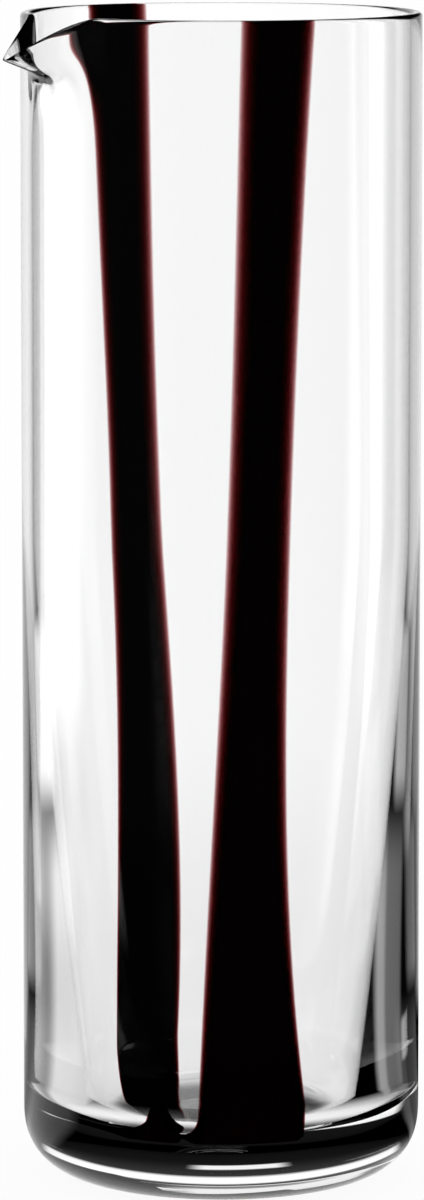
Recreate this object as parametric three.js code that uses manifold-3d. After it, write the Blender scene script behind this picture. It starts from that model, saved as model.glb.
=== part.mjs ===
// A tall water carafe of cased glass: a clear inner bubble, two dark stripes laid on it and a thick clear
// outer casing with a heavy base, a soft foot and a pulled pouring lip.
// Millimetres, +Z up. The origin is the middle of the flat foot, the front faces -Y and the viewer's right is +X.
import * as THREE from 'three';
import { mergeVertices } from 'three/addons/utils/BufferGeometryUtils.js';
import Module from 'manifold-3d';

const wasm = await Module();
wasm.setup();

// Body
const bodyHeight = 280;
const bodyRadius = 47.6;

// Foot: a flat disc to stand on, and a soft corner from the disc up to the straight wall
const footRadius = 25.5;
const footCornerHeight = 18;
const footCornerFullness = 2.5;

// Inside: the floor's height above the table, the rounding where it meets the wall, and the lean in degrees with
// which the thick wall starts above the rounding; the power sets how evenly it thins
const floorThickness = 16;
const innerCornerRadius = 9;
const heelLean = 7;
const taperPower = 1.5;

// Layers, from the inside out: bubble, gap, stripe, gap, and the clear glass that covers the stripe
const bubbleWall = 1;
const layerGap = 0.3;
const stripeThickness = 0.7;
const stripeEdgeThickness = 0.2;
const coverAtRim = 0.5;
const coverAtHeel = 11.3;

// Fire-polished rim, rounded alike on the outside of the casing and on the inside of the bubble
const rimRound = 1.2;

// Pouring lip: a keel pulled out of the rim, with smooth flanks that fade into the wall. The keel starts its own
// length below the rim, and the numbers after the drop shape it: softer start, rounder ridge, sharper keel foot and
// softer flanks as they grow
const lipAzimuth = -59.4;
const lipHalfWidth = 16.3;
const lipKeelLength = 15.5;
const lipFadeLength = 42;
const lipReach = 11.8;
const lipDrop = 9.86;
const lipStartSoftness = 2;
const lipRidge = 0.057;
const lipKeelSharpness = 10;
const lipFlankSoftening = 8;

// Stripes: five values each lead the azimuth, in degrees from the front and positive to the right, and the width
// from the rim to the heel
const frontStripe = { azimuth: [16.6, 12.4, 11.8, 4.9, 11.2], width: [17.9, 14.9, 13.7, 14.8, 23.8] };
const backStripe = { azimuth: [211.7, 216.3, 204.6, 201.9, 217.3], width: [18.6, 16.5, 8.6, 19.5, 22] };
const stripeBelowRim = 0.4;
const stripeEndRadius = 12;
const stripeFeather = 4;

// Fineness of the faceted surfaces
const columnStep = 9;
const lipColumnStep = 2.5;
const cornerSteps = 6;
const easeSteps = 6;
const lipSteps = 9;
const lipGather = 1.6;
const rimSteps = 3;
const stripeSteps = 5;
const stripeFootSteps = 2;
const stripeColumns = 8;

// Depths of the layers, measured outwards from the inner surface
const casingDepth = bubbleWall + layerGap;
const stripeTopDepth = casingDepth + stripeThickness;
const rimWall = stripeTopDepth + layerGap + coverAtRim;
const heelWall = stripeTopDepth + layerGap + coverAtHeel;

// The wall is thickest at the heel, where the inner rounding ends, and as thin as the rim from the ease height up
const lean = THREE.MathUtils.degToRad(heelLean);
const heelHeight = floorThickness + innerCornerRadius * (1 - Math.sin(lean));
const easeHeight = heelHeight + taperPower * (heelWall - rimWall) / Math.tan(lean);

const clearGlass = new THREE.MeshStandardMaterial({
  color: 0xf4f7f7, roughness: 0.02, metalness: 0, transparent: true, opacity: 0.35,
});
const darkGlass = new THREE.MeshStandardMaterial({ color: 0x14060a, roughness: 0.05, metalness: 0 });

// Whole thickness of the glass wall at a height
function wallAt(height) {
  const share = THREE.MathUtils.clamp((easeHeight - height) / (easeHeight - heelHeight), 0, 1);
  return rimWall + (heelWall - rimWall) * share ** taperPower;
}

// Evenly spaced values from one end to the other, both ends included
function spaced(from, to, steps) {
  return Array.from({ length: steps + 1 }, (_, i) => THREE.MathUtils.lerp(from, to, i / steps));
}

// Heights where the wall's faces break, from the top of the inner corner up to the foot of the rim's rounding; they
// lie closer together towards the rim
function wallHeights(straightSteps) {
  const lipFoot = bodyHeight - lipFadeLength;
  const wallTop = bodyHeight - rimRound;
  return [
    ...spaced(heelHeight, easeHeight, easeSteps),
    ...spaced(easeHeight, lipFoot, straightSteps).slice(1),
    ...spaced(1, 0, lipSteps).slice(1).map((share) => wallTop - (wallTop - lipFoot) * share ** lipGather),
  ];
}

// Points of an arc about a centre, between two angles in degrees
function arc(centre, radius, from, to, steps) {
  return spaced(from, to, steps).map((degrees) => {
    const angle = THREE.MathUtils.degToRad(degrees);
    return new THREE.Vector2(centre.x + radius * Math.cos(angle), centre.y + radius * Math.sin(angle));
  });
}

// One layer's surface at a depth outside the inner surface: from the floor's edge round the corner and up the wall
function layerOutline(depth, heights) {
  const centre = new THREE.Vector2(
    bodyRadius - heelWall - innerCornerRadius * Math.cos(lean), floorThickness + innerCornerRadius,
  );
  const corner = arc(centre, innerCornerRadius + depth, -90, -heelLean, cornerSteps);
  const wall = heights.slice(1).map((z) => new THREE.Vector2(bodyRadius - wallAt(z) + depth, z));
  return [...corner, ...wall];
}

// The foot's soft corner: a full, rounded curve from the flat disc up to the straight wall
function footOutline() {
  const reach = bodyRadius - footRadius;
  return spaced(Math.PI / 2, 0, cornerSteps + 2).map((turn) => new THREE.Vector2(
    footRadius + reach * Math.max(Math.cos(turn), 0) ** (2 / footCornerFullness),
    footCornerHeight * (1 - Math.sin(turn) ** (2 / footCornerFullness)),
  ));
}

// The lip's pull at a point of the wall, from 0 outside the lip to 1 at the middle of the rim
function lipPull(across, belowRim) {
  const aside = Math.hypot(across / lipHalfWidth, lipRidge) - lipRidge;
  const near = Math.max(1 - aside, 0);
  const start = near ** 2 / (near + lipStartSoftness) * (1 + lipStartSoftness);
  const sharpness = lipKeelSharpness / (1 + lipFlankSoftening * aside);
  const hang = Math.log1p(Math.exp(sharpness * (1 - belowRim / lipKeelLength))) / Math.log1p(Math.exp(sharpness));
  const fade = (1 - Math.min(belowRim / lipFadeLength, 1) ** 2) ** 2;
  return start * hang * fade;
}

// Places a point of a turned surface, given by radius, azimuth and height, with the lip pulled out of it
function placePoint(radius, azimuth, height) {
  const point = new THREE.Vector3(radius * Math.sin(azimuth), -radius * Math.cos(azimuth), height);
  const turn = azimuth - THREE.MathUtils.degToRad(lipAzimuth);
  if (Math.cos(turn) <= 0) return point;
  const pull = lipPull(radius * Math.sin(turn), Math.max(bodyHeight - height, 0));
  const lipAngle = THREE.MathUtils.degToRad(lipAzimuth);
  point.x += pull * lipReach * Math.sin(lipAngle);
  point.y -= pull * lipReach * Math.cos(lipAngle);
  point.z -= pull * lipDrop;
  return point;
}

// Azimuths of a turned surface's columns, closer together across the lip
function columnAzimuths() {
  const lipSpread = THREE.MathUtils.radToDeg(Math.asin(lipHalfWidth * (1 + lipRidge) / bodyRadius));
  const lipColumns = 2 * Math.ceil(lipSpread / lipColumnStep);
  const rest = 360 - 2 * lipSpread;
  const restColumns = Math.ceil(rest / columnStep);
  const first = lipAzimuth - lipSpread;
  return [
    ...spaced(first, first + 2 * lipSpread, lipColumns).slice(0, -1),
    ...spaced(first + 2 * lipSpread, first + 360, restColumns).slice(0, -1),
  ].map(THREE.MathUtils.degToRad);
}

// A solid turned about the Z axis; the outline starts and ends on the axis and runs up its outer side first. Each
// four-sided face is split from its low corner to its high one, so that facing layers have facing triangles.
function turnedGeometry(outline) {
  const azimuths = columnAzimuths();
  const columns = azimuths.length;
  const rings = outline.slice(1, -1);
  const last = outline[outline.length - 1];
  const points = [new THREE.Vector3(0, 0, outline[0].y)];
  rings.forEach((p) => azimuths.forEach((azimuth) => points.push(placePoint(p.x, azimuth, p.y))));
  points.push(new THREE.Vector3(0, 0, last.y));
  const at = (ring, column) => 1 + ring * columns + (column % columns);
  const triangles = [];
  for (let c = 0; c < columns; c += 1) {
    triangles.push(0, at(0, c + 1), at(0, c));
    for (let r = 0; r + 1 < rings.length; r += 1) {
      const quad = [at(r, c), at(r, c + 1), at(r + 1, c + 1), at(r + 1, c)];
      const split = rings[r + 1].y >= rings[r].y ? [0, 1, 2, 0, 2, 3] : [0, 1, 3, 1, 2, 3];
      triangles.push(...split.map((corner) => quad[corner]));
    }
    triangles.push(at(rings.length - 1, c), at(rings.length - 1, c + 1), points.length - 1);
  }
  return new THREE.BufferGeometry().setFromPoints(points).setIndex(triangles);
}

// A value led smoothly from the rim to the heel, read at a height; below the heel it stays as it is
function alongStripe(leads, height) {
  const down = THREE.MathUtils.clamp((bodyHeight - height) / (bodyHeight - heelHeight), 0, 1);
  let values = leads;
  while (values.length > 1) {
    values = values.slice(1).map((value, i) => THREE.MathUtils.lerp(values[i], value, down));
  }
  return values[0];
}

// A ribbon that follows the wall from a top height down, round the inner corner and under the floor. It is full
// in the middle and feathers to thin edges, and the margin grows it on its outer side, its edges and its foot.
function ribbonGeometry(stripe, innerDepth, margin, top) {
  const outline = layerOutline(innerDepth, [...wallHeights(stripeSteps), top]);
  const floorEdge = outline[0];
  const underFloor = spaced(stripeEndRadius - margin, floorEdge.x, stripeFootSteps).slice(0, -1);
  const stations = [...underFloor.map((radius) => new THREE.Vector2(radius, floorEdge.y)), ...outline];
  const points = [];
  stations.forEach((station, i) => {
    const along = stations[Math.min(i + 1, stations.length - 1)].clone().sub(stations[Math.max(i - 1, 0)]);
    const outward = new THREE.Vector2(along.y, -along.x).normalize();
    const middle = THREE.MathUtils.degToRad(alongStripe(stripe.azimuth, station.y));
    const halfWidth = alongStripe(stripe.width, station.y) / 2 + margin;
    const core = halfWidth - stripeFeather;
    const across = [-halfWidth, ...spaced(-core, core, stripeColumns - 2), halfWidth];
    const addPoint = (side, lift) => points.push(placePoint(
      station.x + lift * outward.x, middle + side / station.x, station.y + lift * outward.y,
    ));
    across.forEach((side) => addPoint(side, 0));
    across.reverse().forEach((side) => {
      const thickness = Math.abs(side) < halfWidth ? stripeThickness : stripeEdgeThickness;
      addPoint(side, casingDepth - innerDepth + thickness + margin);
    });
  });
  const loop = 2 * (stripeColumns + 1);
  const end = stations.length - 1;
  const at = (station, k) => station * loop + (k % loop);
  const triangles = [];
  for (let s = 0; s < end; s += 1) {
    for (let k = 0; k < loop; k += 1) {
      triangles.push(at(s, k), at(s + 1, k + 1), at(s, k + 1));
      triangles.push(at(s, k), at(s + 1, k), at(s + 1, k + 1));
    }
  }
  for (let k = 0; k < stripeColumns; k += 1) {
    const facing = loop - 1 - k;
    triangles.push(at(0, k), at(0, k + 1), at(0, facing - 1));
    triangles.push(at(0, k), at(0, facing - 1), at(0, facing));
    triangles.push(at(end, k), at(end, facing - 1), at(end, k + 1));
    triangles.push(at(end, k), at(end, facing), at(end, facing - 1));
  }
  return new THREE.BufferGeometry().setFromPoints(points).setIndex(triangles);
}

// A dark stripe, laid on the bubble a gap away from it
function stripeGeometry(stripe) {
  return ribbonGeometry(stripe, casingDepth, 0, bodyHeight - stripeBelowRim);
}

// The space that a stripe takes out of the casing, from the inner surface outwards and open at the rim
function grooveGeometry(stripe) {
  return ribbonGeometry(stripe, 0, layerGap, bodyHeight + rimRound);
}

// A closed geometry as a solid that can be cut
function solidFrom(geometry) {
  const bare = new THREE.BufferGeometry();
  bare.setAttribute('position', geometry.getAttribute('position').clone());
  bare.setIndex(geometry.getIndex().clone());
  const merged = mergeVertices(bare);
  return new wasm.Manifold(new wasm.Mesh({
    numProp: 3,
    vertProperties: Float32Array.from(merged.getAttribute('position').array),
    triVerts: Uint32Array.from(merged.getIndex().array),
  }));
}

// A cut solid back as a geometry
function geometryFrom(solid) {
  const { vertProperties, triVerts } = solid.getMesh();
  const geometry = new THREE.BufferGeometry();
  geometry.setAttribute('position', new THREE.BufferAttribute(Float32Array.from(vertProperties), 3));
  geometry.setIndex(Array.from(triVerts));
  return geometry;
}

// Inner bubble: the thin vessel that holds the water
function innerBubbleGeometry() {
  const outside = layerOutline(bubbleWall, [...wallHeights(1), bodyHeight]);
  const inside = layerOutline(0, wallHeights(1));
  const rimCentre = new THREE.Vector2(bodyRadius - rimWall + rimRound, bodyHeight - rimRound);
  const rim = arc(rimCentre, rimRound, 90, 180, rimSteps).slice(0, -1);
  return turnedGeometry([
    new THREE.Vector2(0, floorThickness - bubbleWall),
    ...outside,
    ...rim,
    ...inside.reverse(),
    new THREE.Vector2(0, floorThickness),
  ]);
}

// Outer casing: the foot, the heavy base and the outer wall, with a groove inside for each stripe
function outerCasingGeometry() {
  const heights = wallHeights(1);
  const lipStart = heights.length - 1 - lipSteps;
  const outerWall = heights.slice(lipStart).map((z) => new THREE.Vector2(bodyRadius, z));
  const rimCentre = new THREE.Vector2(bodyRadius - rimRound, bodyHeight - rimRound);
  const rim = arc(rimCentre, rimRound, 0, 90, rimSteps).slice(1);
  const inside = layerOutline(casingDepth, [...heights, bodyHeight]);
  const blank = turnedGeometry([
    new THREE.Vector2(0, 0),
    ...footOutline(),
    ...outerWall,
    ...rim,
    ...inside.reverse(),
    new THREE.Vector2(0, floorThickness - casingDepth),
  ]);
  const grooves = [frontStripe, backStripe].map((stripe) => solidFrom(grooveGeometry(stripe)));
  return geometryFrom(grooves.reduce((casing, groove) => casing.subtract(groove), solidFrom(blank)));
}

// A named sub-part
function subPart(name, geometry, material) {
  const mesh = new THREE.Mesh(geometry, material.clone());
  mesh.name = name;
  return mesh;
}

const carafe = new THREE.Group();
carafe.add(
  subPart('inner_bubble', innerBubbleGeometry(), clearGlass),
  subPart('front_stripe', stripeGeometry(frontStripe), darkGlass),
  subPart('back_stripe', stripeGeometry(backStripe), darkGlass),
  subPart('outer_casing', outerCasingGeometry(), clearGlass),
);

export default carafe;
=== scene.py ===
"""Dresses the water carafe: clear cased glass with two wine-black stripes, on a pale floor in soft light."""
import logging
import math
from dataclasses import dataclass
from enum import Enum

import bpy
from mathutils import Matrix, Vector


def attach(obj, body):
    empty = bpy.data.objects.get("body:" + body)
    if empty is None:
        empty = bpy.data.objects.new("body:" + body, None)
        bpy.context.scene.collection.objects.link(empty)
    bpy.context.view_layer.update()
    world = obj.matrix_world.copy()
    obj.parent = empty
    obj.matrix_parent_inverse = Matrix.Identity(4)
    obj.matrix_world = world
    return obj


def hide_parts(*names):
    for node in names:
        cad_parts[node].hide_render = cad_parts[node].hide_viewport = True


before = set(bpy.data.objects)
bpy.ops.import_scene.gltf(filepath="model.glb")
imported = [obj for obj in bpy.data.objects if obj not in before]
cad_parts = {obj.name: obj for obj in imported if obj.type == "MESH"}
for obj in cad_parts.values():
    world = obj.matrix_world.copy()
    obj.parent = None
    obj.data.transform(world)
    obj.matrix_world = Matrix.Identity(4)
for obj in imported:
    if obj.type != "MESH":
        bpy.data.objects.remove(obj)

LOG = logging.getLogger("carafe")

Outline = list[tuple[float, float]]
Run = tuple[float, float, float, float, float]
Station = tuple[float, float, float]
Edges = tuple[float, float, float, float]
Curve = tuple[tuple[float, float], ...]


class Sum(Enum):
    """The kinds of sum that the studio's light is worked out with."""

    TIMES = "MULTIPLY"
    LARGER = "MAXIMUM"
    SIZE = "ABSOLUTE"
    ABOVE = "GREATER_THAN"
    BELOW = "LESS_THAN"
    TURN = "ARCTAN2"
    RISE = "ARCSINE"


def spaced(first: float, last: float, steps: int) -> list[float]:
    """Evenly spaced values, both ends included.

    Args:
        first: The first value.
        last: The last value.
        steps: How many steps lie between them.

    Returns:
        The values in order.
    """
    return [first + (last - first) * i / steps for i in range(steps + 1)]


def arc(centre: tuple[float, float], radius: float, first: float, last: float, steps: int) -> Outline:
    """Points of an arc in the plane of an outline.

    Args:
        centre: The arc's centre, as radius and height.
        radius: The arc's own radius.
        first: The first angle in degrees, 0 pointing outwards and 90 up.
        last: The last angle in degrees.
        steps: How many steps the arc has.

    Returns:
        The points in order, both ends included.
    """
    turns = [math.radians(a) for a in spaced(first, last, steps)]
    return [(centre[0] + radius * math.cos(t), centre[1] + radius * math.sin(t)) for t in turns]


@dataclass(frozen=True)
class GlassSizes:
    """The carafe's turned form in metres: the solids' driving sizes, with the rim polished thinner."""

    height: float = 0.280
    radius: float = 0.0476
    foot_radius: float = 0.0255
    foot_corner_height: float = 0.018
    foot_corner_fullness: float = 2.5
    floor_thickness: float = 0.016
    inner_corner_radius: float = 0.009
    rim_wall: float = 0.0028
    heel_wall: float = 0.0136
    heel_lean: float = math.radians(7.0)
    taper_power: float = 1.5
    rim_round: float = 0.0012
    rim_thinning: float = 0.0005
    rim_depth: float = 0.004

    @property
    def heel_height(self) -> float:
        """The height where the inner corner meets the leaning wall, which is thickest there."""
        return self.floor_thickness + self.inner_corner_radius * (1.0 - math.sin(self.heel_lean))

    @property
    def ease_height(self) -> float:
        """The height above which the wall is as thin as at the rim."""
        thinning = self.heel_wall - self.rim_wall
        return self.heel_height + self.taper_power * thinning / math.tan(self.heel_lean)

    def wall_at(self, height: float) -> float:
        """The whole thickness of the wall at a height.

        Args:
            height: The height above the table.

        Returns:
            The thickness in metres.
        """
        share = (self.ease_height - height) / (self.ease_height - self.heel_height)
        share = min(max(share, 0.0), 1.0)
        return self.rim_wall + (self.heel_wall - self.rim_wall) * share**self.taper_power

    def thinned(self, point: Vector) -> Vector:
        """Where a point of the wall lies once the rim is polished thin from the inside.

        Args:
            point: The point on the turned body.

        Returns:
            The point in its new place.
        """
        far = math.hypot(point.x, point.y)
        inside = min(max((self.radius - far) / self.rim_wall, 0.0), 1.0)
        push = self.rim_thinning * inside * math.exp(-(self.height - point.z) / self.rim_depth)
        return Vector((point.x * (1.0 + push / far), point.y * (1.0 + push / far), point.z))

    def foot_corner(self, steps: int) -> Outline:
        """The soft corner of the foot.

        Args:
            steps: How many steps the corner has.

        Returns:
            Points from the flat disc up to the straight wall.
        """
        reach = self.radius - self.foot_radius
        power = 2.0 / self.foot_corner_fullness
        turns = spaced(math.pi / 2.0, 0.0, steps)
        return [
            (
                self.foot_radius + reach * max(math.cos(t), 0.0) ** power,
                self.foot_corner_height * (1.0 - math.sin(t) ** power),
            )
            for t in turns
        ]

    def layer(self, depth: float, heights: list[float], corner_steps: int) -> Outline:
        """A layer's surface inside the wall, from the floor's edge round the corner and up the wall.

        Args:
            depth: How far outside the inner surface the layer lies.
            heights: Heights of the wall's points above the heel, in rising order.
            corner_steps: How many steps the inner corner has.

        Returns:
            The layer's points.
        """
        round_in = self.inner_corner_radius
        centre = (
            self.radius - self.heel_wall - round_in * math.cos(self.heel_lean),
            self.floor_thickness + round_in,
        )
        corner = arc(centre, round_in + depth, -90.0, -math.degrees(self.heel_lean), corner_steps)
        return corner + [(self.radius - self.wall_at(z) + depth, z) for z in heights]


@dataclass(frozen=True)
class PouringLip:
    """The pulled lip: a keel with a wide near flank and a narrow far one, and its sizes in metres."""

    azimuth: float = math.radians(-59.4)
    half_width: float = 0.0163
    far_half_width: float = 0.0115
    keel_length: float = 0.0155
    fade_length: float = 0.042
    reach: float = 0.0118
    drop: float = 0.00986
    start_softness: float = 2.0
    far_start_softness: float = 0.5
    ridge: float = 0.057
    keel_sharpness: float = 12.0
    flank_softening: float = 4.0
    inner_ridge: float = 0.12
    thickening: float = 0.0007
    edge_thinning: float = 0.0017
    edge_depth: float = 0.0045

    def pull(self, across: float, below_rim: float, ridge: float) -> float:
        """How far a point of the wall is drawn towards the tip.

        Args:
            across: Distance from the lip's middle, along the rim.
            below_rim: Distance below the rim.
            ridge: How round the keel is, as a share of the half width.

        Returns:
            A share from 0, outside the lip, to 1, at its tip.
        """
        is_far = across > 0.0
        half_width = self.far_half_width if is_far else self.half_width
        softness = self.far_start_softness if is_far else self.start_softness
        aside = math.hypot(across / half_width, ridge) - ridge
        near = max(1.0 - aside, 0.0)
        start = near * near / (near + softness) * (1.0 + softness)
        sharpness = self.keel_sharpness / (1.0 + self.flank_softening * aside)
        hang = math.log1p(math.exp(sharpness * (1.0 - below_rim / self.keel_length)))
        fade = (1.0 - min(below_rim / self.fade_length, 1.0) ** 2) ** 2
        return start * fade * hang / math.log1p(math.exp(sharpness))

    def moved(self, point: Vector, sizes: GlassSizes) -> Vector:
        """Where a point of the turned body lies once the lip is pulled.

        Args:
            point: The point on the turned body.
            sizes: The body's sizes.

        Returns:
            The point in its new place.
        """
        out = Vector((math.sin(self.azimuth), -math.cos(self.azimuth), 0.0))
        if point.dot(out) <= 0.0 or point.z < sizes.height - self.fade_length:
            return point
        across = point.x * out.y - point.y * out.x
        inside = min(max((sizes.radius - math.hypot(point.x, point.y)) / sizes.rim_wall, 0.0), 1.0)
        ridge = self.ridge + (self.inner_ridge - self.ridge) * inside
        below_rim = max(sizes.height - point.z, 0.0)
        pull = self.pull(across, below_rim, ridge)
        polish = self.edge_thinning if across > 0.0 else 0.0
        thinning = polish * math.exp(-below_rim / self.edge_depth) - self.thickening
        return point + pull * ((self.reach + thinning * inside) * out - Vector((0.0, 0.0, self.drop)))


def stretched_noise(
    tree: bpy.types.NodeTree, scale: float, stretch: float, detail: float
) -> bpy.types.NodeSocket:
    """A soft noise on the piece's own coordinates, drawn out along the vessel's height.

    Args:
        tree: The node tree to add to.
        scale: How fine the noise is.
        stretch: The scale along the height, as a share of the scale across it.
        detail: How many finer layers the noise has.

    Returns:
        The socket with the noise.
    """
    place = tree.nodes.new("ShaderNodeTexCoord")
    mapping = tree.nodes.new("ShaderNodeMapping")
    mapping.inputs["Scale"].default_value = (1.0, 1.0, stretch)
    tree.links.new(place.outputs["Object"], mapping.inputs["Vector"])
    noise = tree.nodes.new("ShaderNodeTexNoise")
    noise.inputs["Scale"].default_value = scale
    noise.inputs["Detail"].default_value = detail
    tree.links.new(mapping.outputs["Vector"], noise.inputs["Vector"])
    return noise.outputs["Fac"]


@dataclass(frozen=True)
class ClearGlass:
    """Clear fire-polished glass."""

    name: str = "clear_glass"
    ior: float = 1.5
    tint: tuple[float, float, float] = (0.996, 0.996, 0.996)
    wave_scale: float = 45.0
    wave_stretch: float = 0.3
    wave_detail: float = 1.0
    wave_height: float = 0.00002

    def material(self) -> bpy.types.Material:
        """The glass as a material with a faint waviness."""
        made = bpy.data.materials.new(self.name)
        made.use_nodes = True
        nodes = made.node_tree.nodes
        links = made.node_tree.links
        skin = nodes["Principled BSDF"]
        skin.inputs["Base Color"].default_value = (*self.tint, 1.0)
        skin.inputs["Roughness"].default_value = 0.0
        skin.inputs["IOR"].default_value = self.ior
        skin.inputs["Transmission Weight"].default_value = 1.0
        waves = stretched_noise(made.node_tree, self.wave_scale, self.wave_stretch, self.wave_detail)
        bump = nodes.new("ShaderNodeBump")
        bump.inputs["Distance"].default_value = self.wave_height
        links.new(waves, bump.inputs["Height"])
        links.new(bump.outputs["Normal"], skin.inputs["Normal"])
        return made


@dataclass(frozen=True)
class WineGlass:
    """Dense wine-coloured glass, fused into the clear wall without a surface of its own."""

    name: str = "wine_black_glass"
    tint: tuple[float, float, float] = (0.444, 0.0, 0.017)
    density: float = 18540.0
    core: tuple[float, float, float] = (0.0006, 0.0001, 0.0002)
    streak: tuple[float, float, float] = (0.0030, 0.0004, 0.0009)
    streak_scale: float = 60.0
    streak_stretch: float = 0.12
    streak_detail: float = 2.0
    core_roughness: float = 0.6

    def edge_material(self) -> bpy.types.Material:
        """The thin edge as a material that only absorbs."""
        made = bpy.data.materials.new(self.name + "_edge")
        made.use_nodes = True
        nodes = made.node_tree.nodes
        links = made.node_tree.links
        skin = nodes["Principled BSDF"]
        skin.inputs["Base Color"].default_value = (1.0, 1.0, 1.0, 1.0)
        skin.inputs["Roughness"].default_value = 0.0
        skin.inputs["IOR"].default_value = 1.0
        skin.inputs["Transmission Weight"].default_value = 1.0
        inside = nodes.new("ShaderNodeVolumeAbsorption")
        inside.inputs["Color"].default_value = (*self.tint, 1.0)
        inside.inputs["Density"].default_value = self.density
        links.new(inside.outputs["Volume"], nodes["Material Output"].inputs["Volume"])
        return made

    def core_material(self) -> bpy.types.Material:
        """The thick middle as a material that lets no light through."""
        made = bpy.data.materials.new(self.name + "_core")
        made.use_nodes = True
        nodes = made.node_tree.nodes
        links = made.node_tree.links
        skin = nodes["Principled BSDF"]
        streaks = stretched_noise(made.node_tree, self.streak_scale, self.streak_stretch, self.streak_detail)
        colours = nodes.new("ShaderNodeValToRGB")
        colours.color_ramp.elements[0].color = (*self.core, 1.0)
        colours.color_ramp.elements[1].color = (*self.streak, 1.0)
        links.new(streaks, colours.inputs["Fac"])
        links.new(colours.outputs["Color"], skin.inputs["Base Color"])
        skin.inputs["Roughness"].default_value = self.core_roughness
        skin.inputs["IOR"].default_value = 1.0
        skin.inputs["Specular IOR Level"].default_value = 0.0
        return made


@dataclass
class GlassBody:
    """The clear glass vessel: bubble and casing fused into one wall, with the base, the foot and the lip."""

    sizes: GlassSizes
    lip: PouringLip
    finish: ClearGlass
    columns: int = 288
    gather: float = 0.72
    corner_steps: int = 28
    ease_steps: int = 24
    lip_steps: int = 44
    lip_gather: float = 1.6
    outer_steps: int = 12
    inner_steps: int = 8
    rim_steps: int = 8
    floor_rings: int = 6
    middle_share: float = 0.1

    def outline(self) -> Outline:
        """The turned outline, from the foot's disc up the outside, over the rim and to the inner floor."""
        s = self.sizes
        wall_top = s.height - s.rim_round
        lip_foot = s.height - self.lip.fade_length
        shares = spaced(1.0, 0.0, self.lip_steps)[1:]
        lip_rows = [wall_top - (wall_top - lip_foot) * k**self.lip_gather for k in shares]
        outside = [(s.radius, z) for z in spaced(s.foot_corner_height, lip_foot, self.outer_steps)[1:]]
        outside += [(s.radius, z) for z in lip_rows]
        rim_out = arc((s.radius - s.rim_round, wall_top), s.rim_round, 0.0, 90.0, self.rim_steps)[1:]
        inner_rim = s.radius - s.rim_wall + s.rim_round
        rim_in = arc((inner_rim, wall_top), s.rim_round, 90.0, 180.0, self.rim_steps)[:-1]
        heights = spaced(s.heel_height, s.ease_height, self.ease_steps)[1:]
        heights += spaced(s.ease_height, lip_foot, self.inner_steps)[1:]
        heights += lip_rows
        inside = s.layer(0.0, heights, self.corner_steps)[::-1]
        inwards = spaced(1.0, self.middle_share, self.floor_rings)[1:]
        outwards = spaced(self.middle_share, 1.0, self.floor_rings)[:-1]
        floor = [(inside[-1][0] * k, s.floor_thickness) for k in inwards]
        sole = [(s.foot_radius * k, 0.0) for k in outwards]
        return sole + s.foot_corner(self.corner_steps) + outside + rim_out + rim_in + inside + floor

    def build(self) -> bpy.types.Object:
        """Models the vessel ring by ring and pulls its lip.

        Returns:
            The finished piece, dressed in clear glass.
        """
        outline = self.outline()
        radius, height = outline[0]
        bpy.ops.object.select_all(action="DESELECT")
        bpy.ops.mesh.primitive_circle_add(
            vertices=self.columns, radius=radius, fill_type="NGON", location=(0.0, 0.0, 0.0)
        )
        vessel = bpy.context.object
        vessel.name = "clear_glass_body"
        self._gather_columns(vessel, radius)
        bpy.ops.object.mode_set(mode="EDIT")
        bpy.ops.mesh.select_all(action="SELECT")
        for wider, higher in outline[1:]:
            rise = (0.0, 0.0, higher - height)
            bpy.ops.mesh.extrude_region_move(TRANSFORM_OT_translate={"value": rise})
            bpy.ops.transform.resize(
                value=(wider / radius, wider / radius, 1.0), center_override=(0.0, 0.0, higher)
            )
            radius, height = wider, higher
        bpy.ops.mesh.select_all(action="SELECT")
        bpy.ops.mesh.normals_make_consistent(inside=False)
        bpy.ops.object.mode_set(mode="OBJECT")
        vessel.data.materials.append(self.finish.material())
        for vertex in vessel.data.vertices:
            vertex.co = self.lip.moved(self.sizes.thinned(vertex.co), self.sizes)
        bpy.ops.object.shade_smooth()
        return vessel

    def _gather_columns(self, vessel: bpy.types.Object, radius: float) -> None:
        """Turns the first ring's points about the axis, so that the columns lie close together at the lip.

        Args:
            vessel: The disc that the vessel grows from.
            radius: The disc's radius.
        """
        for i, vertex in enumerate(vessel.data.vertices):
            even = 2.0 * math.pi * i / self.columns
            turn = self.lip.azimuth + even - self.gather * math.sin(even)
            vertex.co = (radius * math.sin(turn), -radius * math.cos(turn), 0.0)


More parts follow.
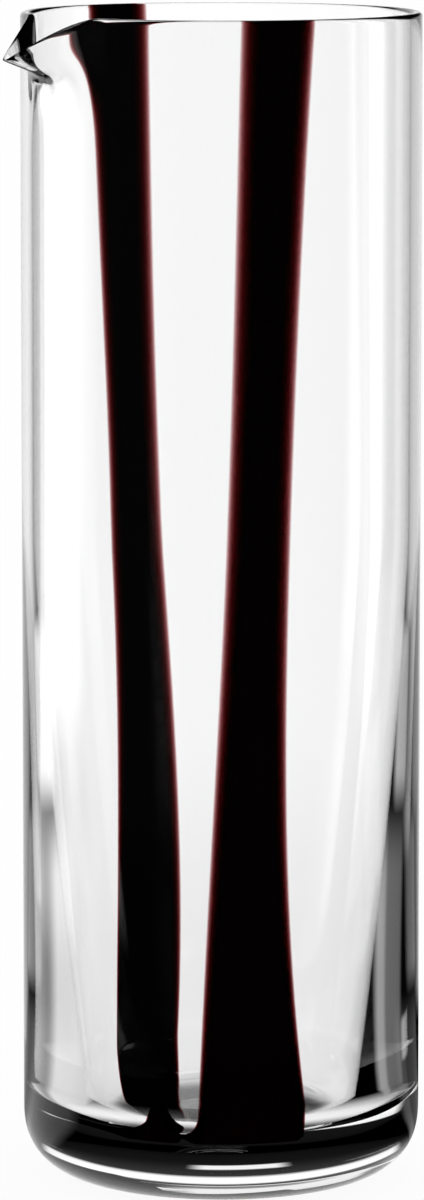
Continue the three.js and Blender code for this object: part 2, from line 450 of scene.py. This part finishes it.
@dataclass
class Stripe:
    """A dark ribbon held in the wall, from the rim down and under the inner floor."""

    name: str
    node: str
    sizes: GlassSizes
    finish: WineGlass
    azimuth: Run
    width: Run
    depth: float = 0.0013
    thickness: float = 0.0007
    feather: Run = (0.0044, 0.0044, 0.0042, 0.0030, 0.0014)
    core_share: float = 0.92
    below_rim: float = 0.0004
    thinnest: float = 0.01
    heading: float = 180.0
    floor_run: float = 0.028
    narrowing: float = 0.0
    across_steps: int = 40
    wall_steps: int = 60
    floor_steps: int = 30

    def along(self, values: Run, height: float) -> float:
        """A value led from the rim to the heel by five values, read at a height.

        Args:
            values: The value at the rim, three that bend its run and the value at the heel.
            height: The height above the table.

        Returns:
            The value there; below the heel it stays as it is.
        """
        s = self.sizes
        down = min(max((s.height - height) / (s.height - s.heel_height), 0.0), 1.0)
        up = 1.0 - down
        shares = (up**4, 4.0 * up**3 * down, 6.0 * up**2 * down**2, 4.0 * up * down**3, down**4)
        return sum(share * value for share, value in zip(shares, values))

    def stations(self) -> list[Station]:
        """Stations of the ribbon's run, from its far end under the floor up to the rim."""
        s = self.sizes
        heights = spaced(s.heel_height, s.height - self.below_rim, self.wall_steps)
        wall = s.layer(self.depth, heights, 1)[2:]
        heel = wall[0][0]
        floor = [(d, heel, s.heel_height) for d in spaced(self.floor_run, 0.0, self.floor_steps)[:-1]]
        return floor + [(0.0, r, z) for r, z in wall]

    def build(self) -> bpy.types.Object:
        """Models the ribbon from a grid that is laid on the bubble and thickened outwards.

        Returns:
            The finished piece, dressed in wine-coloured glass.
        """
        run = self.stations()
        bpy.ops.object.select_all(action="DESELECT")
        bpy.ops.mesh.primitive_grid_add(
            x_subdivisions=self.across_steps, y_subdivisions=len(run) - 1, size=2.0, location=(0.0, 0.0, 0.0)
        )
        ribbon = bpy.context.object
        ribbon.name = self.name
        ribbon.data.materials.append(self.finish.edge_material())
        ribbon.data.materials.append(self.finish.core_material())
        bpy.ops.object.mode_set(mode="EDIT")
        bpy.ops.mesh.select_all(action="SELECT")
        bpy.ops.mesh.extrude_region_move(TRANSFORM_OT_translate={"value": (0.0, 0.0, 1.0)})
        bpy.ops.object.mode_set(mode="OBJECT")
        last = len(run) - 1
        for face in ribbon.data.polygons:
            face.material_index = int(self._is_core(ribbon.data, face, run))
        for vertex in ribbon.data.vertices:
            i = round((vertex.co.y + 1.0) / 2.0 * last)
            vertex.co = self._place(run[i], vertex.co.x, lifted=vertex.co.z > 0.5)
        bpy.ops.object.mode_set(mode="EDIT")
        bpy.ops.mesh.select_all(action="SELECT")
        bpy.ops.mesh.normals_make_consistent(inside=False)
        bpy.ops.object.mode_set(mode="OBJECT")
        bpy.ops.object.shade_smooth()
        return ribbon

    def _fullness(self, side: float, height: float) -> float:
        """How full the ribbon is at a place across it.

        Args:
            side: Place across the ribbon, from -1 to 1.
            height: The height above the table.

        Returns:
            A share from 0, at the ribbon's edge, to 1, in its middle.
        """
        half = self.along(self.width, height) / 2.0
        return min((1.0 - abs(side)) * half / self.along(self.feather, height), 1.0)

    def _is_core(self, mesh: bpy.types.Mesh, face: bpy.types.MeshPolygon, run: list[Station]) -> bool:
        """True for a face of the thick middle, read on the flat grid before it is laid on the bubble.

        Args:
            mesh: The ribbon's mesh.
            face: The face.
            run: The ribbon's stations.

        Returns:
            Whether all the face's corners lie where the ribbon is full.
        """
        last = len(run) - 1
        corners = [mesh.vertices[v].co for v in face.vertices]
        fullness = [self._fullness(c.x, run[round((c.y + 1.0) / 2.0 * last)][2]) for c in corners]
        return min(fullness) >= self.core_share

    def _place(self, station: Station, side: float, lifted: bool) -> Vector:
        """Where a point of the ribbon lies.

        Args:
            station: The ribbon's station.
            side: Place across the ribbon, from -1 to 1.
            lifted: True on the ribbon's outer face.

        Returns:
            The point's place.
        """
        run, radius, height = station
        lift = self.thickness * max(self._fullness(side, height), self.thinnest) if lifted else 0.0
        half = self.along(self.width, height) / 2.0 * (1.0 - self.narrowing * run / self.floor_run)
        turn = math.radians(self.along(self.azimuth, height)) + side * half / radius
        ahead = math.radians(self.heading)
        plan = Vector((math.sin(turn), -math.cos(turn), 0.0)) * radius
        plan += Vector((math.sin(ahead), -math.cos(ahead), 0.0)) * run
        if run == 0.0:
            return plan * (radius + lift) / radius + Vector((0.0, 0.0, height))
        return self._on_floor(plan, lift)

    def _on_floor(self, plan: Vector, lift: float) -> Vector:
        """Lays a point on the floor's underside or round the inner corner.

        Args:
            plan: The point's place seen from above.
            lift: How far below the ribbon's upper face it lies.

        Returns:
            The point's place.
        """
        s = self.sizes
        bend = s.inner_corner_radius + self.depth
        flat = s.radius - s.heel_wall - s.inner_corner_radius * math.cos(s.heel_lean)
        reach = min(max(plan.length - flat, 0.0), bend * math.cos(s.heel_lean)) / bend
        level = s.floor_thickness + s.inner_corner_radius
        fall = math.sqrt(1.0 - reach * reach)
        outward = plan.normalized() if reach > 0.0 else Vector()
        return plan + outward * lift * reach + Vector((0.0, 0.0, level - (bend + lift) * fall))


@dataclass(frozen=True)
class PhotoCamera:
    """The camera at the photograph's viewing angle, for a picture of 424 by 1200."""

    distance: float = 1.600
    height: float = 0.355
    aim_height: float = 0.1395
    picture_height: float = 1200.0
    focal_pixels: float = 6748.0
    axis_pixel: float = 221.3
    picture_middle: float = 212.0
    film: float = 24.0
    nearest: float = 0.05

    def place(self) -> bpy.types.Object:
        """Adds the camera and makes it the scene's own."""
        data = bpy.data.cameras.new("photo_camera")
        data.sensor_fit = "VERTICAL"
        data.sensor_height = self.film
        data.lens = self.focal_pixels / self.picture_height * self.film
        data.clip_start = self.nearest
        camera = bpy.data.objects.new("photo_camera", data)
        bpy.context.scene.collection.objects.link(camera)
        aside = (self.axis_pixel - self.picture_middle) * self.distance / self.focal_pixels
        camera.location = (-aside, -self.distance, self.height)
        fall = math.atan2(self.height - self.aim_height, self.distance)
        camera.rotation_euler = (math.pi / 2.0 - fall, 0.0, 0.0)
        bpy.context.scene.camera = camera
        return camera


def summed(
    tree: bpy.types.NodeTree,
    operation: Sum,
    first: bpy.types.NodeSocket | float,
    second: bpy.types.NodeSocket | float = 0.0,
) -> bpy.types.NodeSocket:
    """A sum on two sockets or numbers.

    Args:
        tree: The node tree to add to.
        operation: The kind of sum.
        first: The first socket or number.
        second: The second socket or number.

    Returns:
        The socket with the result.
    """
    node = tree.nodes.new("ShaderNodeMath")
    node.operation = operation.value
    for socket, value in zip(node.inputs, (first, second)):
        if isinstance(value, bpy.types.NodeSocket):
            tree.links.new(value, socket)
        else:
            socket.default_value = value
    return node.outputs[0]


def ramped(
    tree: bpy.types.NodeTree,
    value: bpy.types.NodeSocket,
    span: tuple[float, float],
    ends: tuple[float, float],
) -> bpy.types.NodeSocket:
    """A smooth change from one number to another over a span.

    Args:
        tree: The node tree to add to.
        value: The socket that is read.
        span: Where the change begins and ends.
        ends: The numbers before and after it.

    Returns:
        The socket with the result.
    """
    node = tree.nodes.new("ShaderNodeMapRange")
    node.interpolation_type = "SMOOTHSTEP"
    node.inputs["From Min"].default_value = span[0]
    node.inputs["From Max"].default_value = span[1]
    node.inputs["To Min"].default_value = ends[0]
    node.inputs["To Max"].default_value = ends[1]
    tree.links.new(value, node.inputs["Value"])
    return node.outputs["Result"]


def banded(
    tree: bpy.types.NodeTree,
    value: bpy.types.NodeSocket,
    edges: tuple[float, ...],
) -> bpy.types.NodeSocket:
    """A band that is 1 between its two inner edges and fades to 0 at its outer ones.

    Args:
        tree: The node tree to add to.
        value: The socket that is read.
        edges: The four edges in rising order.

    Returns:
        The socket with the result.
    """
    rise = ramped(tree, value, (edges[0], edges[1]), (0.0, 1.0))
    fall = ramped(tree, value, (edges[2], edges[3]), (1.0, 0.0))
    return summed(tree, Sum.TIMES, rise, fall)


def mixed(
    tree: bpy.types.NodeTree,
    share: bpy.types.NodeSocket,
    first: bpy.types.NodeSocket | float,
    second: bpy.types.NodeSocket | float,
) -> bpy.types.NodeSocket:
    """A number between two, by a share.

    Args:
        tree: The node tree to add to.
        share: The socket with the share of the second.
        first: The first socket or number.
        second: The second socket or number.

    Returns:
        The socket with the result.
    """
    node = tree.nodes.new("ShaderNodeMix")
    tree.links.new(share, node.inputs["Factor"])
    for name, value in (("A", first), ("B", second)):
        if isinstance(value, bpy.types.NodeSocket):
            tree.links.new(value, node.inputs[name])
        else:
            node.inputs[name].default_value = value
    return node.outputs["Result"]


@dataclass(frozen=True)
class Studio:
    """A pale table in a bright room.

    Light that only passes through the glass comes from the bright room, with a painted contact shadow and
    painted shade on the table near the glass. Light that has mirrored in the glass comes from a dim studio
    instead, with white sheets, a backdrop, two wings, a glow, a leaf and soft boxes: painted reflections,
    patches of light on the table and in the room. The camera sees an even white table, with a faint lit
    shadow, and an even white room.
    Spans are distances on the table in metres, rises are degrees above the horizon and edges are azimuths.
    """

    table_radius: float = 30.0
    table_drop: float = 0.0002
    table_points: int = 96
    table_grey: float = 0.9
    shadow_share: float = 0.06
    # Painted contact shadow: the table's light close to the glass and away from it, the span between, and
    # where it fades out in the glass's mirrors.
    painted_shadow_light: tuple[float, float] = (0.08, 0.95)
    painted_shadow_span: tuple[float, float] = (0.024, 0.038)
    painted_shadow_fade: tuple[float, float] = (0.040, 0.066)
    # Painted shade: through the glass the table brightens by this gain from the glass outwards over this
    # span.
    painted_shade_gain: tuple[float, float] = (1.0, 1.14)
    painted_shade_span: tuple[float, float] = (0.08, 0.50)
    sheet_light: float = 0.90
    sheet_edge: tuple[float, float] = (math.radians(12.0), math.radians(40.0))
    sheet_span: tuple[float, float] = (0.200, 0.270)
    near_sheet_edge: Edges = (-42.0, -30.0, 2.0, 9.0)
    near_sheet_span: tuple[float, float] = (0.150, 0.190)
    backdrop: Curve = (
        (-180.0, 0.01),
        (-42.0, 0.01),
        (-34.0, 0.50),
        (-12.0, 0.50),
        (10.0, 0.62),
        (34.0, 0.62),
        (42.0, 0.01),
        (180.0, 0.01),
    )
    backdrop_span: tuple[float, float] = (0.42, 0.65)
    wing_light: tuple[float, float] = (1.05, 0.55)
    wing_edges: tuple[Edges, Edges] = (
        (-62.0, -56.0, -36.0, -31.0),
        (28.0, 36.0, 46.0, 54.0),
    )
    wing_span: Edges = (0.25, 0.31, 0.50, 0.62)
    glow: Curve = (
        (-180.0, 0.0),
        (-105.0, 0.0),
        (-95.0, 0.7),
        (-58.0, 0.85),
        (-48.0, 0.38),
        (-43.0, 0.30),
        (-35.0, 0.42),
        (-20.0, 0.85),
        (-14.0, 0.50),
        (-8.0, 0.20),
        (-4.0, 0.0),
        (32.0, 0.0),
        (37.0, 0.17),
        (56.0, 0.17),
        (60.0, 0.38),
        (66.0, 0.38),
        (72.0, 0.0),
        (180.0, 0.0),
    )
    glow_span: tuple[float, float] = (0.20, 0.28)
    leaf_light: float = 0.60
    leaf_edge: Edges = (0.0, 6.0, 27.0, 38.0)
    leaf_span: Edges = (0.080, 0.085, 0.101, 0.107)
    boxes: Curve = (
        (-180.0, 0.0),
        (-95.0, 0.0),
        (-86.0, 2.0),
        (-54.0, 2.0),
        (-52.5, 0.0),
        (76.5, 0.0),
        (80.5, 0.85),
        (90.5, 0.85),
        (93.5, 0.0),
        (180.0, 0.0),
    )
    box_span: tuple[float, float] = (0.30, 0.45)
    once: float = 0.5
    wall_passes: float = 2.5
    dim_light: float = 0.008
    dim_rise: tuple[float, float] = (9.8, 11.0)
    mirrored_rise: tuple[float, float] = (3.0, 8.0)
    card_rise: tuple[float, float] = (22.0, 28.0)
    card_edge: Edges = (-40.0, -32.0, 4.0, 12.0)
    side_edge: tuple[float, float] = (math.radians(50.0), math.radians(60.0))
    # Painted highlight band: where it lies in rise and azimuth.
    painted_highlight_rise: Edges = (14.5, 15.7, 18.3, 19.5)
    painted_highlight_edge: Edges = (-16.0, -11.0, 3.0, 8.0)
    top_light: float = 0.80
    top_rise: tuple[float, float] = (42.0, 56.0)

    def build(self) -> None:
        """Adds the table and the room."""
        self._table()
        self._room()

    def _around(
        self, tree: bpy.types.NodeTree, turn: bpy.types.NodeSocket, lights: Curve
    ) -> bpy.types.NodeSocket:
        """A brightness that changes around the glass.

        Args:
            tree: The node tree to add to.
            turn: The socket with the azimuth in radians, 0 behind the glass and positive to the right.
            lights: Azimuths in degrees and the brightness there, in rising order from -180 to 180.

        Returns:
            The socket with the brightness.
        """
        share = tree.nodes.new("ShaderNodeMapRange")
        share.inputs["From Min"].default_value = -math.pi
        share.inputs["From Max"].default_value = math.pi
        tree.links.new(turn, share.inputs["Value"])
        curve = tree.nodes.new("ShaderNodeFloatCurve")
        points = curve.mapping.curves[0].points
        brightest = max(light for _, light in lights)
        while len(points) < len(lights):
            points.new(0.5, 0.5)
        for point, (azimuth, light) in zip(points, lights):
            point.location = (azimuth / 360.0 + 0.5, light / brightest)
            point.handle_type = "VECTOR"
        curve.mapping.update()
        tree.links.new(share.outputs["Result"], curve.inputs["Value"])
        return summed(tree, Sum.TIMES, curve.outputs["Value"], brightest)

    def _sector(
        self, tree: bpy.types.NodeTree, turn: bpy.types.NodeSocket, edges: Edges
    ) -> bpy.types.NodeSocket:
        """A band of azimuths, 1 inside and 0 outside.

        Args:
            tree: The node tree to add to.
            turn: The socket with the azimuth in radians.
            edges: The band's four edges in degrees.

        Returns:
            The socket with the share.
        """
        return banded(tree, turn, tuple(math.radians(edge) for edge in edges))

    def _mirrored_light(
        self, tree: bpy.types.NodeTree, turn: bpy.types.NodeSocket, distance: bpy.types.NodeSocket | None
    ) -> bpy.types.NodeSocket:
        """The brightness of the studio that the glass mirrors: painted reflections, and on the table near the
        glass a painted contact shadow with a bright ring.

        Args:
            tree: The node tree to add to.
            turn: The socket with the azimuth in radians, 0 behind the glass and positive to the right.
            distance: The socket with the distance on the table, none for the room around it.

        Returns:
            The socket with the brightness.
        """
        # Painted reflections: sheets, backdrop, wings, glow, leaf and soft boxes are patches of light that
        # only rays mirrored in the glass see.
        aside = summed(tree, Sum.SIZE, turn)
        backdrop = self._around(tree, turn, self.backdrop)
        boxes = self._around(tree, turn, self.boxes)
        if distance is None:
            return summed(tree, Sum.LARGER, backdrop, boxes)
        backdrop = summed(tree, Sum.TIMES, backdrop, ramped(tree, distance, self.backdrop_span, (0.0, 1.0)))
        boxes = summed(tree, Sum.TIMES, boxes, ramped(tree, distance, self.box_span, (0.0, 1.0)))
        sheet = ramped(tree, aside, self.sheet_edge, (self.sheet_light, self.dim_light))
        sheet = summed(tree, Sum.TIMES, sheet, ramped(tree, distance, self.sheet_span, (0.0, 1.0)))
        near_sheet = ramped(tree, distance, self.near_sheet_span, (0.0, self.sheet_light))
        near_sheet = summed(tree, Sum.TIMES, self._sector(tree, turn, self.near_sheet_edge), near_sheet)
        sheet = summed(tree, Sum.LARGER, sheet, near_sheet)
        glow = self._around(tree, turn, self.glow)
        glow = summed(tree, Sum.TIMES, glow, ramped(tree, distance, self.glow_span, (1.0, 0.0)))
        leaf = summed(tree, Sum.TIMES, self._sector(tree, turn, self.leaf_edge), self.leaf_light)
        leaf = summed(tree, Sum.TIMES, leaf, banded(tree, distance, self.leaf_span))
        glow = summed(tree, Sum.LARGER, glow, leaf)
        # Painted contact shadow as the glass mirrors it: dark close to the glass, a bright ring just outside,
        # gone further out.
        contact = ramped(tree, distance, self.painted_shadow_span, self.painted_shadow_light)
        contact = summed(tree, Sum.TIMES, contact, ramped(tree, distance, self.painted_shadow_fade, (1.0, 0.0)))
        far = summed(tree, Sum.LARGER, backdrop, boxes)
        for light, edges in zip(self.wing_light, self.wing_edges):
            wing = banded(tree, distance, self.wing_span)
            wing = summed(tree, Sum.TIMES, self._sector(tree, turn, edges), wing)
            far = summed(tree, Sum.LARGER, far, summed(tree, Sum.TIMES, wing, light))
        near = summed(tree, Sum.LARGER, summed(tree, Sum.LARGER, sheet, glow), contact)
        return summed(tree, Sum.LARGER, far, near)

    def _table(self) -> bpy.types.Object:
        """The pale table top, white to the eye, with a soft lit shadow; through the glass it shows a painted
        contact shadow and painted shade near the glass, and in the glass's mirrors painted reflections.
        """
        bpy.ops.object.select_all(action="DESELECT")
        bpy.ops.mesh.primitive_circle_add(
            vertices=self.table_points,
            radius=self.table_radius,
            fill_type="NGON",
            location=(0.0, 0.0, -self.table_drop),
        )
        table = bpy.context.object
        table.name = "pale_table"
        made = bpy.data.materials.new("pale_table")
        made.use_nodes = True
        made.cycles.emission_sampling = "NONE"
        tree = made.node_tree
        tree.nodes.clear()
        place = tree.nodes.new("ShaderNodeTexCoord").outputs["Object"]
        parts = tree.nodes.new("ShaderNodeSeparateXYZ")
        tree.links.new(place, parts.inputs["Vector"])
        turn = summed(tree, Sum.TURN, parts.outputs["X"], parts.outputs["Y"])
        away = tree.nodes.new("ShaderNodeVectorMath")
        away.operation = "LENGTH"
        tree.links.new(place, away.inputs[0])
        distance = away.outputs["Value"]
        path = tree.nodes.new("ShaderNodeLightPath")
        through = summed(tree, Sum.LARGER, path.outputs["Is Transmission Ray"], path.outputs["Is Glossy Ray"])
        # Painted contact shadow and painted shade seen through the glass: darker close to the glass, brighter
        # away from it.
        straight = ramped(tree, distance, self.painted_shadow_span, self.painted_shadow_light)
        straight = summed(tree, Sum.TIMES, straight, ramped(tree, distance, self.painted_shade_span, self.painted_shade_gain))
        plain = mixed(tree, through, 1.0, straight)
        has_mirrored = summed(tree, Sum.ABOVE, path.outputs["Glossy Depth"], self.once)
        glow = tree.nodes.new("ShaderNodeEmission")
        light = mixed(tree, has_mirrored, plain, self._mirrored_light(tree, turn, distance))
        tree.links.new(light, glow.inputs["Strength"])
        lit = tree.nodes.new("ShaderNodeBsdfDiffuse")
        lit.inputs["Color"].default_value = (self.table_grey, self.table_grey, self.table_grey, 1.0)
        seen = tree.nodes.new("ShaderNodeMixShader")
        shadow = summed(tree, Sum.TIMES, path.outputs["Is Camera Ray"], self.shadow_share)
        tree.links.new(shadow, seen.inputs["Fac"])
        tree.links.new(glow.outputs[0], seen.inputs[1])
        tree.links.new(lit.outputs[0], seen.inputs[2])
        out = tree.nodes.new("ShaderNodeOutputMaterial")
        tree.links.new(seen.outputs[0], out.inputs["Surface"])
        table.data.materials.append(made)
        return table

    def _room(self) -> None:
        """The room around the table as the world's light: white to the eye, and for rays through or mirrored
        in the glass a painted studio, with painted shade above the horizon and at the sides, a painted
        highlight band, brighter again at the top, and painted reflections.
        """
        world = bpy.data.worlds.new("bright_room")
        bpy.context.scene.world = world
        world.use_nodes = True
        tree = world.node_tree
        tree.nodes.clear()
        place = tree.nodes.new("ShaderNodeTexCoord").outputs["Generated"]
        parts = tree.nodes.new("ShaderNodeSeparateXYZ")
        tree.links.new(place, parts.inputs["Vector"])
        turn = summed(tree, Sum.TURN, parts.outputs["X"], parts.outputs["Y"])
        aside = summed(tree, Sum.SIZE, turn)
        rise = summed(tree, Sum.TIMES, summed(tree, Sum.RISE, parts.outputs["Z"]), math.degrees(1.0))
        path = tree.nodes.new("ShaderNodeLightPath")
        has_mirrored = summed(tree, Sum.ABOVE, path.outputs["Glossy Depth"], self.once)
        is_solid = summed(tree, Sum.BELOW, path.outputs["Transmission Depth"], self.wall_passes)
        behind = self.painted_shadow_light[1] * self.painted_shade_gain[1]
        # Painted shade: rays through the glass see the room dim above the horizon, and rays that pass only
        # the solid wall see dim sides.
        sides = ramped(tree, aside, self.side_edge, (behind, self.dim_light))
        straight = mixed(tree, is_solid, behind, sides)
        straight = mixed(tree, ramped(tree, rise, self.dim_rise, (0.0, 1.0)), straight, self.dim_light)
        # Painted highlight: a bright band that only rays through the glass see.
        painted_highlight = banded(tree, rise, self.painted_highlight_rise)
        painted_highlight = summed(tree, Sum.TIMES, painted_highlight, self._sector(tree, turn, self.painted_highlight_edge))
        straight = summed(tree, Sum.LARGER, straight, painted_highlight)
        straight = mixed(tree, ramped(tree, rise, self.top_rise, (0.0, 1.0)), straight, self.top_light)
        # Painted reflections in the room, seen only by rays mirrored in the glass: bright low down, dim
        # above, and a bright card.
        mirrored = self._mirrored_light(tree, turn, None)
        mirrored = mixed(tree, ramped(tree, rise, self.mirrored_rise, (0.0, 1.0)), mirrored, self.dim_light)
        card = summed(tree, Sum.TIMES, self._sector(tree, turn, self.card_edge), self.sheet_light)
        card = summed(tree, Sum.TIMES, card, ramped(tree, rise, self.card_rise, (1.0, 0.0)))
        mirrored = summed(tree, Sum.LARGER, mirrored, card)
        studio = mixed(tree, has_mirrored, straight, mirrored)
        through = summed(tree, Sum.LARGER, path.outputs["Is Transmission Ray"], path.outputs["Is Glossy Ray"])
        glow = tree.nodes.new("ShaderNodeBackground")
        tree.links.new(mixed(tree, through, 1.0, studio), glow.inputs["Strength"])
        glow.inputs["Color"].default_value = (1.0, 1.0, 1.0, 1.0)
        out = tree.nodes.new("ShaderNodeOutputWorld")
        tree.links.new(glow.outputs[0], out.inputs["Surface"])


def main() -> None:
    """Builds the carafe, its stage and its camera."""
    logging.basicConfig(level=logging.INFO)
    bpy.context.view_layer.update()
    sizes = GlassSizes()
    body = GlassBody(sizes, PouringLip(), ClearGlass()).build()
    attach(body, "root")
    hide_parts("inner_bubble", "outer_casing")
    LOG.info("piece %s: %d faces", body.name, len(body.data.polygons))
    wine = WineGlass()
    front = Stripe(
        "front_stripe_glass",
        "front_stripe",
        sizes,
        wine,
        azimuth=(16.6, 12.4, 11.8, 4.9, 11.2),
        width=(0.0179, 0.0149, 0.0137, 0.0148, 0.0238),
        heading=191.2,
    )
    back = Stripe(
        "back_stripe_glass",
        "back_stripe",
        sizes,
        wine,
        azimuth=(214.0, 212.7, 207.7, 200.5, 217.5),
        width=(0.0172, 0.0184, 0.0071, 0.0205, 0.0222),
        heading=9.5,
        floor_run=0.061,
        narrowing=0.62,
    )
    for stripe in (front, back):
        piece = stripe.build()
        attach(piece, "root")
        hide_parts(stripe.node)
        LOG.info("piece %s: %d faces", piece.name, len(piece.data.polygons))
    PhotoCamera().place()
    scene = bpy.context.scene
    scene.view_settings.view_transform = "Standard"
    Studio().build()
    bpy.context.view_layer.update()


if __name__ == "__main__":
    main()
